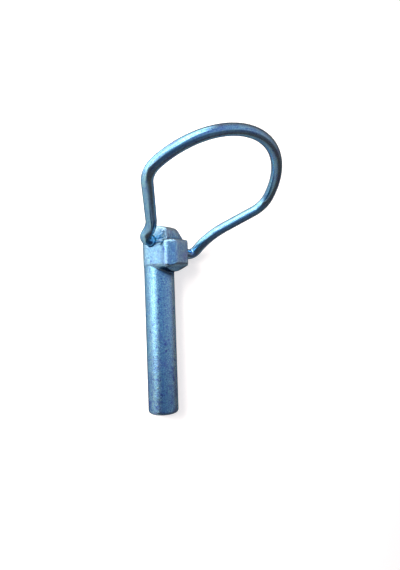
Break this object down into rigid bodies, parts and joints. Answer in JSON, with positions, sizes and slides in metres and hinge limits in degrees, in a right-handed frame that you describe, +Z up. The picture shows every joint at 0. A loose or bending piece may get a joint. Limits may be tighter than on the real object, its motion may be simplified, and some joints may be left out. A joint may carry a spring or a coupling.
{
  "type": "spring pin",
  "caption": "Locking pin with a plain round shank, a forged head with a one-sided lug, and a spring-wire bow hinged through the head that snaps over the shank.",
  "frame": {"origin": "on the shank's axis, half way along its plain round length", "axes": "+Y along the shank's axis towards the head, +Z up from the surface the pin lies on, +X towards the long foot of the wire bow"},
  "size_m": [0.0527, 0.0822, 0.0405],
  "materials": {
    "plated_pin": "forged steel with blue-white zinc plating, satin and grainy, with fine pits and scratches",
    "plated_wire": "drawn spring-steel wire with blue-white zinc plating, smooth satin with a few tool nicks"
  },
  "bodies": {
    "pin": {"pin": "plated_pin"},
    "bow": {"wire_bow": "plated_wire"}
  },
  "joints": [
    {"name": "bow_swing", "type": "hinge", "parent": "pin", "child": "bow", "pos_m": [0.00024, 0.03047, 0.00087], "axis": [0.9475, -0.1758, -0.2669], "range_deg": [-220, 120]}
  ]
}
